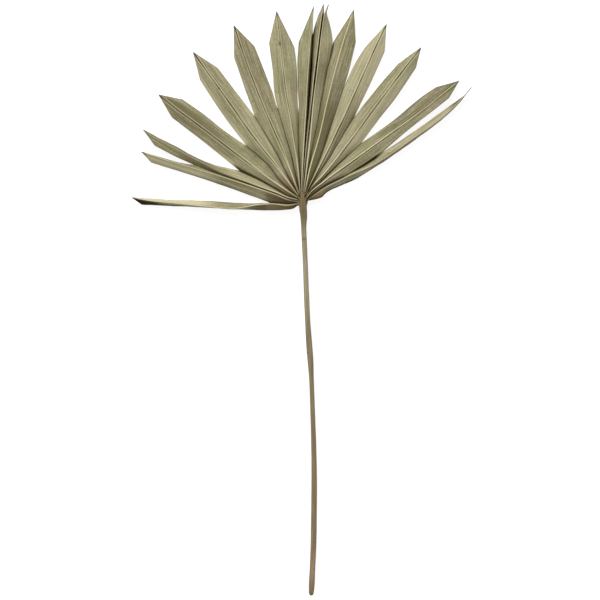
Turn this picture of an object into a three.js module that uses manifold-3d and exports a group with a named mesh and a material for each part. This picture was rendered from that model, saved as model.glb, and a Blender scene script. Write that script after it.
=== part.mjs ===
// A dried, trimmed fan-palm leaf, lying face down: the pleated fan and its stalk, in millimetres.
// +Y runs from the cut end of the stalk to the fan, +Z is up, away from the surface it lies on.
import * as THREE from 'three';
import { mergeVertices } from 'three/addons/utils/BufferGeometryUtils.js';
import Module from 'manifold-3d';

const wasm = await Module();
wasm.setup();

// The hub is where the pleats gather; every plan measure below runs from it.
const HUB_X = 0.38;
const HUB_Y = 122.28;
const FOLD_MID = 7.6; // height of the middle of the pleats over the surface
const LAMINA = 0.8; // thickness of a half-lamina
const RIB_ROOT = 1.1; // radius of a midrib at the hub
const RIB_TIP = 0.45; // and at its tip
const SUTURE = 0.7; // radius of the gathered fold between two segments
const TRUE_HALF = [15.6, 15.6]; // width of both half-laminae, laid flat, on a middle segment
const TAPER = 0.12; // share of that width lost between the split and the trimmed shoulder
const WIDENING = 0.8; // power by which a half-lamina widens from the hub to the split
const WIDEN_REACH = 60; // least distance over which it widens
const LEAST_FOLD = 0.2; // the flattest fold, as a share of that width
const SPLIT_BLEND = 40; // length over which a free edge leaves the depth of its fold
const SETTLE = 80; // length over which a side segment sinks to the surface
const ARCH = 0.04; // crown of a half-lamina, as a share of its width
const STATION_PITCH = 13; // least length between two cross-sections of a half-lamina
const MARGIN_PITCH = 6; // and on the two outermost segments, which bend more

// The midribs and folds start evenly round an arch over the top of the stalk.
const ROOT_ARCH = { x: 0.6, y: -4, halfWidth: 5.6, halfHeight: 9.5, first: 208, last: 2 };
const BASE_HEIGHT = 2; // half height of the gathered base under the roots

// One row per segment, from the left side of the fan clockwise. `tip` is its reach from the hub and its
// bearing from +X in degrees. The other points are [along, across] its own axis, across being positive
// clockwise: `rib` is the midrib, `left` and `right` are the free edges from the split to the trimmed
// shoulder, which is the last point; straight trims run on to the tip. `flat` is the true width of the
// left and the right half, `sink` how far the segment hangs below the middle of the fan, and `turned`
// where its fold opens and turns over, with the share of the fold it ends at.
const SEGMENTS = [
  {
    tip: [201.7, 180.3], flat: [10, 10], sink: 3,
    rib: [[16, -10.2], [36, -8.4], [51, -9.2], [79, -13.5], [115, -10.8], [150, -7], [180, -3.9]],
    left: [[10.5, -14], [20, -15.3], [62, -14.8], [115, -11.6], [150, -9.9], [190, -8]],
    right: [[62, -7.4], [115, -4.3], [156, -2.9], [180, -1.2]],
  },
  {
    tip: [197.4, 164.4], flat: [10.8, 9], sink: 1.7,
    rib: [[15, -8], [44, -5.7], [85, -3.4], [125, -2.2], [174, -1.3]],
    left: [[60, -14.7], [116, -11], [183, -8.9]],
    right: [[150, -0.3], [170, -0.1]],
  },
  {
    tip: [203.9, 157.2], flat: [8.4, 11.8], sink: 1.5,
    rib: [[14, -8.3], [63, -8.5], [105, -10], [137, -8], [167, -5], [194, -2.3]],
    left: [[156, -14.1], [184, -11.8]],
    right: [[89, -1.7], [109, -5], [130, -5.8], [161, -2.9], [181, -1.6]],
  },
  {
    tip: [208.3, 144.6], flat: [13.6, 14.4], sink: 0,
    rib: [[41, -4.7], [86, -4.1], [140, -2.4], [182, -1.6]],
    left: [[131, -14.3], [180, -12.5]],
    right: [[120, 10.4], [150, 12], [182, 11.9]],
  },
  {
    tip: [214.2, 127], flat: [15, 15.4], sink: 0,
    rib: [[40, -2], [83, -3.2], [143, -1.7], [188, -0.7]],
    left: [[127, -16.3], [183, -13.1]],
    right: [[134, 12.3], [182, 12.1]],
  },
  {
    tip: [218, 111.7], flat: TRUE_HALF, sink: 0,
    rib: [[57, -1.1], [100, -2.6], [170, -2.6]],
    left: [[150, -15.1], [183, -13.6]],
    right: [[113, 11.8], [122, 12.9], [150, 13.4], [186, 13.6]],
  },
  {
    tip: [221.5, 97.8], flat: TRUE_HALF, sink: 0,
    rib: [[22, -0.6], [84, 0], [124, -1.9], [183, -0.7]],
    left: [[112, -14.6], [122, -15.5], [153, -13.9], [186, -13.7]],
    right: [[103, 9.4], [126, 11.7], [138, 13.4], [152, 14.5], [177, 15]],
  },
  {
    tip: [225, 86.5], flat: TRUE_HALF, sink: 0,
    rib: [[30, -1.4], [60, -1.7], [103, -1.7], [138, -1.9], [161, -1.6], [186, -1.1], [200, -0.5]],
    left: [[103, -10], [126, -12.4], [140, -13.2], [152, -14.6], [182, -15]],
    right: [[178, 1.7], [188, 1.2], [200, -0.8]],
  },
  {
    tip: [228.7, 83.6], flat: TRUE_HALF, sink: 0,
    rib: [[80, -1.5], [103, -1.4], [137, -2], [175, -1.5], [211, -1]],
    left: [[175, -9], [195, -8.3], [216, -4.7]],
    right: [[190, 0.6], [208, 0.9], [219, 1.3]],
  },
  {
    tip: [229.2, 82.1], flat: TRUE_HALF, sink: 0,
    rib: [[80, -0.2], [102, -1.4], [163, -2.8], [200, -3.5], [217, -3.2]],
    left: [[190, -3.7], [205, -3.6], [217, -3]],
    right: [[166, 10.2], [186, 10.6], [205, 5.2], [221, -1.6]],
  },
  {
    tip: [229.4, 74.5], flat: TRUE_HALF, sink: 0,
    rib: [[30, 0.2], [74, 0.6], [115, -1.2], [157, -2.3], [188, -2]],
    left: [[186, -13.4]],
    right: [[142, 13.4], [176, 13.2], [193, 12.4]],
  },
  {
    tip: [227.2, 63.9], flat: [14.8, 13.2], sink: 0,
    rib: [[11, 3.1], [45, 3.8], [102, 3.6], [157, 1.8], [196, 0.4]],
    left: [[142, -12.4], [178, -12.3], [191, -10.8]],
    right: [[162, 13.5], [197, 12.3]],
  },
  {
    tip: [225.9, 51.4], flat: [13.8, 12.9], sink: 0,
    rib: [[14, 3], [34, 4.4], [85, 4.1], [146, 1.6], [190, 0.4]],
    left: [[162, -10.7], [194, -9.2]],
    right: [[131, 13.8], [155, 13.9], [203, 10.2]],
  },
  {
    tip: [231.7, 36.4], flat: [12, 10.4], sink: 1, turned: [100, 170, -0.7],
    rib: [[9, 2.5], [30, 1], [70, 1], [136, 1.8], [170, 2.3], [205, 0.8]],
    left: [[140, -8.6], [189, -11], [205, -10.1]],
    right: [[121, 13], [149, 11.1], [187, 10.1], [209, 9.4]],
  },
  {
    tip: [238.8, 32.8], flat: [8, 12], sink: 2.2,
    rib: [[30, 5.8], [46, 7.5], [66, 10], [88, 13.7], [115, 14.5], [142, 13.3], [192, 10.7], [219, 5.6]],
    left: [[134, 7.6], [178, 6.1], [197, 4.9], [227, 3.6]],
    right: [
      [14, 11.1], [22, 12.4], [30, 11], [42, 12.7], [58, 15.6], [89, 17], [142, 15.8],
      [172, 14], [192, 12.2], [219, 6.8],
    ],
  },
];

// The valley fold between each pair of neighbours, [reach, bearing] from the hub out to the split.
const SUTURES = [
  [[17.6, 208], [26.5, 196.3], [37.7, 191.4]],
  [[14, 198], [22, 181], [36, 172.3], [55, 168], [95, 164.5], [132, 163.5]],
  [[16, 177], [35, 163], [49, 159.3], [79.8, 157.3]],
  [[17, 151.6], [36, 142.7], [51, 137.5], [88.7, 137.4]],
  [[31, 124.1], [56, 120.7], [110, 120.4]],
  [[48, 104.8], [107, 105.4]],
  [[21, 96], [57, 94], [98, 92.5]],
  [[42, 87], [79, 85.9], [103, 85.7], [150, 85.7]],
  [[50, 85.5], [150, 83.6]],
  [[33, 77.4], [79, 78.3], [150, 78.8]],
  [[30, 62.6], [50, 64.5], [86, 67.3], [134.8, 69]],
  [[32, 54], [58, 55.1], [81, 56.2], [113, 56.8]],
  [[20, 36], [48, 41.6], [94.3, 42.1]],
  [[24, 23.3], [35, 27], [64, 25.9], [89, 27.2], [107, 28.6]],
];

// The stalk from its tongue over the hub to its cut end: [y, x, half width, half height, height of axis].
const STALK = [
  [6, 0.2, 1.2, 0.6, 10.4],
  [2, 0.4, 2.4, 1.3, 10.5],
  [-4, 0.6, 3.4, 2.2, 10.3],
  [-11, 1, 4.3, 2.8, 9.9],
  [-25, 2.1, 3.9, 3, 9.2],
  [-32, 2, 3.4, 2.9, 8.9],
  [-54, 2.8, 3, 2.7, 8.5],
  [-82, 4, 3, 2.7, 8.1],
  [-125, 5.7, 3.1, 2.7, 7.3],
  [-154, 7.1, 3.2, 2.7, 6.7],
  [-182, 9, 3.6, 2.8, 6.2],
  [-197, 10.2, 3.4, 2.8, 6],
  [-212, 11, 2.9, 2.8, 5.7],
  [-253, 12.5, 2.8, 2.7, 5],
  [-296, 13.9, 3, 2.7, 4.2],
  [-324, 14.4, 3.2, 2.8, 3.8],
  [-381, 14.1, 3.4, 2.9, 3.3],
  [-410, 13.7, 3.4, 2.9, 3.1],
  [-438, 12.6, 3.3, 2.9, 2.9],
  [-466, 11.2, 3.1, 2.9, 2.9],
  [-470, 11, 2.8, 2.4, 2.9],
  [-472.3, 11.2, 1.5, 1.3, 2.9],
];
const STALK_SIDES = 10;
const SEAT_GAP = 0.3; // room between the stalk and the ribs that clasp it
const CRUMB = 0.03; // faces closer than this are joined into one

const radians = THREE.MathUtils.degToRad;

function fromPolar(reach, bearing) {
  const turn = radians(bearing);
  return new THREE.Vector2(reach * Math.cos(turn), reach * Math.sin(turn));
}

// Value at `along` of a polyline of [along, value] points, held level past its ends.
function valueAt(points, along) {
  if (along <= points[0][0]) return points[0][1];
  for (let i = 1; i < points.length; i += 1) {
    const [a, va] = points[i - 1];
    const [b, vb] = points[i];
    if (along <= b) return va + ((vb - va) * (along - a)) / (b - a);
  }
  return points.at(-1)[1];
}

// Place on the root arch; `step` counts segments from 0, and a fold sits half a step on.
function rootPoint(step) {
  const { x, y, halfWidth, halfHeight, first, last } = ROOT_ARCH;
  const turn = radians(first + ((last - first) * step) / (SEGMENTS.length - 1));
  return new THREE.Vector2(x + halfWidth * Math.cos(turn), y + halfHeight * Math.sin(turn));
}

// A segment's own axis: turns plan points from the hub into [along, across] and back.
function axisOf(segment) {
  const out = fromPolar(1, segment.tip[1]);
  const side = new THREE.Vector2(out.y, -out.x);
  return {
    reach: segment.tip[0],
    local: (p) => [p.dot(out), p.dot(side)],
    plan: (along, across) => out.clone().multiplyScalar(along).addScaledVector(side, across),
  };
}

// Plan lines of one half of a segment: midrib and outer line, both as [along, across] from root to tip.
function halfLines(index, side) {
  const segment = SEGMENTS[index];
  const axis = axisOf(segment);
  const tip = [axis.reach, 0];
  const rib = [axis.local(rootPoint(index)), ...segment.rib, tip];
  const foldIndex = side === 'right' ? index : index - 1;
  const fold = SUTURES[foldIndex] ?? [];
  const foldRoot = axis.local(rootPoint(index + (side === 'right' ? 0.5 : -0.5)));
  const joined = [foldRoot, ...fold.map(([r, b]) => axis.local(fromPolar(r, b)))];
  const free = segment[side].filter(([along]) => along > joined.at(-1)[0] + 4);
  const edge = [...joined, ...free, tip].filter((p, i, all) => i === 0 || p[0] > all[i - 1][0] + 0.5);
  const pitch = index > 0 && index < SEGMENTS.length - 1 ? STATION_PITCH : MARGIN_PITCH;
  const flat = segment.flat[side === 'right' ? 1 : 0];
  return { axis, rib, edge, pitch, flat, split: joined.at(-1)[0], shoulder: segment[side].at(-1)[0] };
}

// Width of a half-lamina laid flat: it widens to the split, tapers to the shoulder, runs out at the tip.
function flatWidth({ flat, split, shoulder, axis }, along) {
  const widening = Math.min(1, along / Math.max(split, WIDEN_REACH)) ** WIDENING;
  const taper = 1 - TAPER * THREE.MathUtils.clamp((along - split) / (shoulder - split), 0, 1);
  const trimmed = Math.min(1, (axis.reach - along) / (axis.reach - shoulder));
  return flat * widening * taper * trimmed;
}

// How far a half-lamina falls from rib to edge: what is left of its flat width after the plan width.
function fallAt(index, side, along) {
  const lines = halfLines(index, side);
  const flat = flatWidth(lines, along);
  const across = valueAt(lines.edge, along) - valueAt(lines.rib, along);
  return Math.sqrt(Math.max(flat * flat - across * across, (LEAST_FOLD * flat) ** 2));
}

// Share of its fold that a segment keeps: 1 on a ridge, below 0 where it has turned over.
function foldShare(index, along) {
  const [from, to, share] = SEGMENTS[index].turned ?? [0, 1, 1];
  return 1 + (share - 1) * THREE.MathUtils.smoothstep(along, from, to);
}

// Height of a midrib: half the deeper fall above the middle of its segment, held past the trim.
function ribHeight(index, along) {
  const fallOf = (side) => fallAt(index, side, Math.min(along, halfLines(index, side).shoulder));
  const deepest = Math.max(fallOf('left'), fallOf('right'));
  const middle = FOLD_MID - SEGMENTS[index].sink * Math.min(1, along / SETTLE);
  return middle + (foldShare(index, along) * deepest) / 2;
}

function freeEdgeHeight(index, side, along) {
  return ribHeight(index, along) - foldShare(index, along) * fallAt(index, side, along);
}

// Height of a segment's outer line: shared with its neighbour up to the split, then its own.
function edgeHeight(index, side, along) {
  const own = freeEdgeHeight(index, side, along);
  const neighbour = side === 'right' ? index + 1 : index - 1;
  if (!SEGMENTS[neighbour]) return own;
  const { split } = halfLines(index, side);
  const otherSide = side === 'right' ? 'left' : 'right';
  const reach = Math.min(along, split);
  const shared = (freeEdgeHeight(index, side, reach) + freeEdgeHeight(neighbour, otherSide, reach)) / 2;
  const gap = shared - freeEdgeHeight(index, side, reach);
  return own + gap * Math.max(0, 1 - Math.max(0, along - split) / SPLIT_BLEND);
}

function inSpace(axis, along, across, height) {
  const p = axis.plan(along, across);
  return new THREE.Vector3(p.x, p.y, height);
}

function solidFrom(points, triangles) {
  const vertProperties = new Float32Array(points.flatMap((p) => [p.x + HUB_X, p.y + HUB_Y, p.z]));
  const mesh = new wasm.Mesh({ numProp: 3, vertProperties, triVerts: new Uint32Array(triangles) });
  return new wasm.Manifold(mesh);
}

function solidOf(geometry) {
  geometry.deleteAttribute('normal');
  geometry.deleteAttribute('uv');
  const merged = mergeVertices(geometry, 1e-4);
  const place = merged.getAttribute('position');
  const point = (_, i) => new THREE.Vector3().fromBufferAttribute(place, i);
  return solidFrom(Array.from({ length: place.count }, point), Array.from(merged.index.array));
}

// A thin closed sheet round rows of points, both faces split into triangles alike.
function sheet(rows, thickness) {
  const across = rows[0].length;
  const count = rows.length * across;
  const { clamp } = THREE.MathUtils;
  const at = (i, j) => rows[clamp(i, 0, rows.length - 1)][clamp(j, 0, across - 1)];
  const upper = [];
  const lower = [];
  rows.forEach((row, i) => row.forEach((p, j) => {
    const side = at(i, j + 1).clone().sub(at(i, j - 1));
    const along = at(i + 1, j).clone().sub(at(i - 1, j));
    const normal = side.cross(along).normalize();
    upper.push(p.clone().addScaledVector(normal, thickness / 2));
    lower.push(p.clone().addScaledVector(normal, -thickness / 2));
  }));
  const faces = [];
  for (let i = 0; i < rows.length - 1; i += 1) {
    for (let j = 0; j < across - 1; j += 1) {
      const a = i * across + j;
      faces.push([a, a + 1, a + across], [a + 1, a + across + 1, a + across]);
    }
  }
  const edges = new Set(faces.flatMap(([a, b, c]) => [`${a},${b}`, `${b},${c}`, `${c},${a}`]));
  const triangles = faces.flatMap(([a, b, c]) => [a, b, c, a + count, c + count, b + count]);
  for (const edge of edges) {
    const [a, b] = edge.split(',').map(Number);
    if (!edges.has(`${b},${a}`)) triangles.push(b, a, a + count, b, a + count, b + count);
  }
  return solidFrom([...upper, ...lower], triangles);
}

// A closed cord along points, with a half width and half height at each.
function cord(points, halfWidths, halfHeights, sides) {
  const rings = points.map((p, i) => {
    const ahead = points[Math.min(i + 1, points.length - 1)];
    const behind = points[Math.max(i - 1, 0)];
    const tangent = ahead.clone().sub(behind).normalize();
    const sideways = new THREE.Vector3(tangent.y, -tangent.x, 0).normalize();
    const upward = sideways.clone().cross(tangent);
    return Array.from({ length: sides }, (_, k) => {
      const turn = (2 * Math.PI * (k + 0.5)) / sides;
      return p.clone()
        .addScaledVector(sideways, halfWidths[i] * Math.cos(turn))
        .addScaledVector(upward, halfHeights[i] * Math.sin(turn));
    });
  });
  const triangles = [];
  for (let i = 0; i < rings.length - 1; i += 1) {
    for (let k = 0; k < sides; k += 1) {
      const a = i * sides + k;
      const b = i * sides + ((k + 1) % sides);
      triangles.push(a, a + sides, b, b, a + sides, b + sides);
    }
  }
  const last = (rings.length - 1) * sides;
  for (let k = 1; k < sides - 1; k += 1) {
    triangles.push(0, k, k + 1, last, last + k + 1, last + k);
  }
  return solidFrom(rings.flat(), triangles);
}

// Stations along a half: the bends of its rib and edge that are not too close together.
function stationsOf(lines) {
  const { rib, edge, axis } = lines;
  const start = Math.max(rib[0][0], edge[0][0]);
  const isInside = (along) => along > start + 4 && along < axis.reach - 8;
  const bends = [...edge, ...rib].map(([along]) => along).filter(isInside);
  const kept = [start];
  for (const along of bends.sort((a, b) => a - b)) {
    const isShoulder = Math.abs(along - lines.shoulder) < 0.01 || Math.abs(along - lines.split) < 0.01;
    if (along - kept.at(-1) > lines.pitch) kept.push(along);
    else if (isShoulder && kept.length > 1) kept[kept.length - 1] = along;
  }
  return [...kept, axis.reach - 1.5];
}

function halfLamina(index, side) {
  const lines = halfLines(index, side);
  const rows = stationsOf(lines).map((along) => {
    const inner = inSpace(lines.axis, along, valueAt(lines.rib, along), ribHeight(index, along));
    const outer = inSpace(lines.axis, along, valueAt(lines.edge, along), edgeHeight(index, side, along));
    const middle = inner.clone().lerp(outer, 0.5);
    middle.z += ARCH * inner.distanceTo(outer);
    return [inner, middle, outer];
  });
  return sheet(rows, LAMINA);
}

function midrib(index) {
  const { axis, rib } = halfLines(index, 'left');
  const stations = rib.map(([along]) => along).filter((a, i, all) => i === 0 || a - all[i - 1] > 3);
  const heightAt = (along) => ribHeight(index, Math.min(along, axis.reach - 2));
  const points = stations.map((along) => inSpace(axis, along, valueAt(rib, along), heightAt(along)));
  const radii = stations.map((a) => RIB_ROOT + ((RIB_TIP - RIB_ROOT) * a) / axis.reach);
  return cord(points, radii, radii, 5);
}

function sutureFold(index) {
  const { axis, edge, split } = halfLines(index, 'right');
  const joined = edge.filter(([along]) => along <= split + 0.01);
  const heightAt = (along) => edgeHeight(index, 'right', along);
  const points = joined.map(([along, across]) => inSpace(axis, along, across, heightAt(along)));
  const radii = points.map(() => SUTURE);
  return cord(points, radii, radii, 4);
}

// The gathered base that the midribs grow out of.
function gatheredBase() {
  const { x, y, halfWidth, halfHeight } = ROOT_ARCH;
  const ball = new THREE.IcosahedronGeometry(1, 1);
  ball.scale(halfWidth + 0.3, halfHeight + 0.2, BASE_HEIGHT);
  ball.translate(x, y, FOLD_MID - BASE_HEIGHT / 2);
  return solidOf(ball);
}

function stalk(margin) {
  const points = STALK.map(([y, x, , , z]) => new THREE.Vector3(x, y, z));
  if (margin > 0) points[0].y += margin;
  const halfWidths = STALK.map((row) => row[2] + margin);
  const halfHeights = STALK.map((row) => row[3] + margin);
  return cord(points, halfWidths, halfHeights, STALK_SIDES);
}

// A broad slab under the surface, to press flat what would reach below it.
function underSurface() {
  const slab = new THREE.BoxGeometry(600, 900, 10);
  slab.translate(-HUB_X, -HUB_Y, -5);
  return solidOf(slab);
}

// The largest body of a joined solid, without any sealed hollow or loose crumb that joining left.
function mainBody(solid) {
  return solid.decompose().reduce((best, piece) => (piece.volume() > best.volume() ? piece : best));
}

function blade() {
  let joined = gatheredBase();
  SEGMENTS.forEach((_, index) => {
    joined = joined.add(halfLamina(index, 'left')).add(halfLamina(index, 'right')).add(midrib(index));
  });
  SUTURES.forEach((_, index) => {
    joined = joined.add(sutureFold(index));
  });
  return mainBody(joined.subtract(stalk(SEAT_GAP)).subtract(underSurface()).simplify(CRUMB));
}

function meshOf(name, solid, colour, roughness) {
  const { vertProperties, triVerts } = solid.getMesh();
  const geometry = new THREE.BufferGeometry();
  geometry.setAttribute('position', new THREE.BufferAttribute(new Float32Array(vertProperties), 3));
  geometry.setIndex(new THREE.BufferAttribute(new Uint32Array(triVerts), 1));
  geometry.computeVertexNormals();
  const material = new THREE.MeshStandardMaterial({ color: colour, roughness, metalness: 0 });
  const mesh = new THREE.Mesh(geometry, material);
  mesh.name = name;
  return mesh;
}

const group = new THREE.Group();
group.add(meshOf('blade', blade(), 0xa09876, 0.75));
group.add(meshOf('stem', mainBody(stalk(0).subtract(underSurface())), 0x91825f, 0.7));

export default group;
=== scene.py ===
"""A dried, trimmed fan-palm leaf lying face down on a pale floor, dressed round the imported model.

The blade is fifteen folded segments that share their valley folds near the stalk and part
further out. Each segment is one closed sheet, worked out from its midrib, its two outer lines
and the true width of its halves. Lengths are in millimetres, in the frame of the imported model,
until a mesh is made.
"""
import math

import bpy
import numpy as np
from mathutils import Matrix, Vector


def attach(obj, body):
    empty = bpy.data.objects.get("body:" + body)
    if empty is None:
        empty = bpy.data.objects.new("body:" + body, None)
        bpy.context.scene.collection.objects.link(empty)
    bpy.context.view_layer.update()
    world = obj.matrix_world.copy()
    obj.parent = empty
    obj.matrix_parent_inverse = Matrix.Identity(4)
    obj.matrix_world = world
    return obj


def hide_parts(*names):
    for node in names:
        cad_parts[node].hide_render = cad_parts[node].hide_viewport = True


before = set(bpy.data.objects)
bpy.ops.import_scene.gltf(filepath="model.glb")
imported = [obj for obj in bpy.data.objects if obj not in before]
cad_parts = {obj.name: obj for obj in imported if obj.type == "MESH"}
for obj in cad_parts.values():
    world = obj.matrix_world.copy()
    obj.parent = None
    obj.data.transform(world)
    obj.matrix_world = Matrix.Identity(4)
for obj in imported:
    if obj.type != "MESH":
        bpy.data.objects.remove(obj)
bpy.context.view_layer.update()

MM = 0.001
FULL_TURN = 2 * math.pi
SEED = 15
PHASES = 6.3  # the phases of the irregular waves are drawn from 0 to this, a full turn

# The hub is where the pleats gather; every plan measure below runs from it.
HUB = np.array([0.38, 122.28])
FOLD_MID = 7.6  # height of the middle of the pleats over the surface
TRUE_HALF = 15.6  # width of a half-lamina, laid flat, on a middle segment
TAPER = 0.12  # share of that width lost between the split and the trimmed shoulder
WIDENING = 0.8  # power by which a half-lamina widens from the hub to the split
WIDEN_REACH = 60.0  # least distance over which it widens
LEAST_FOLD = 0.2  # the flattest fold, as a share of that width
FOLD_ROUNDING = 0.1  # how softly that limit takes over, as a share of the width squared
LEAD_ROUNDING = 0.4  # how softly the deeper half of a segment takes over from the other
SPLIT_BLEND = 40.0  # length over which a free edge leaves the depth of its fold
SPLIT_ROOM = 4.0  # the first point of a free edge lies at least this far past the split
SETTLE = 80.0  # length over which a side segment sinks to the surface
BLUNT_TIP = (0.3, 0.2)  # how far short of the tip, and to its side, an outer line ends
PLAN_PITCH = 0.8  # spacing of the points on the curves in plan

# The ribs start on an elliptic arch round the hub, from one bearing to another.
ARCH_CENTRE = np.array([0.6, -4.0])
ARCH_HALVES = np.array([5.6, 9.5])  # half width and half height
ARCH_FIRST, ARCH_LAST = 208.0, 2.0

LAMINA = 0.5  # thickness of the tissue between its veins
RIB_ROOT, RIB_TIP = 0.95, 0.45  # radius of a midrib at the hub and at its tip
RIB_RISE = 0.5  # height of a midrib over the tissue, as a share of its radius
RIB_DROP = 0.35  # and its depth under it
FOLD_DROP = 0.4  # how much thicker the tissue is under a joined fold
FOLD_SPREAD = 0.7  # half width of that
CROWN = 0.04  # how much a half-lamina bows up, as a share of its width
VEINS = 11  # parallel veins on a half-lamina
VEIN_RISE = 0.05
BUCKLE = 0.22  # height of the slow, irregular waves of the dry tissue
BUCKLE_PITCH = 34.0
WAVY_WIDTHS = (1.5, 8.0)  # veins and waves come in as a half widens from the first to the second
REST_CLEARANCE = 0.1  # the lowest tissue stays this far over the surface
REST_ROUNDING = 0.3  # how softly the tissue levels out above it
CELLS_ACROSS, CELLS_ALONG = 30, 116  # faces from midrib to outer line and from hub to tip

# The crease along a grooved midrib, which widens, narrows and fades a little on its way. Its
# dark is painted shade down in the groove.
CREASE_SPREAD = 0.5  # half width
CREASE_SHARE = 0.6  # depth as a share of the midrib's radius
CREASE_PITCH = 9.0
CREASE_ONSET = 20.0  # half the length over which it comes in
FLANK = 1.5  # how far beside it the midrib is palest, part painted highlight on the groove's lips
SCAR_LENGTH, SCAR_WIDTH = 2.5, 1.25  # half sizes of the small wound

# How wide the marks of colour and of painted shade are, from the line that each one follows.
FOLD_SHADE_LINE = 0.95  # the painted shade down in a fold
FOLD_SHADE_GLOOM = 2.4  # the softer painted shade round it near the hub
RIB_SHADOW_PLACE, RIB_SHADOW_SPREAD = 1.7, 0.5  # the painted shadow line at a midrib's side: place in radii, half width
RIM_SPREAD = 1.1  # the rim, browned and darkened by painted shade where it curves down
TIP_ZONE = (1, 9)  # the gray tip fades out between these distances from it
GATHER_ZONE = (8, 44)  # gather: brown colour and painted shade, fading out between these reaches
PART_LENGTH = 50.0  # past the split a rim takes this long to brown and darken
FIBRE_STEP = 40.0  # each segment reads its own stretch of the fibres, this far from the last
LEAF_PATCHES = (60.0, 14.0, 27.0, 2.6)  # sizes of the leaf's clouds: age, hue, moss, flecks
STALK_PATCH = 45.0
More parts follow.
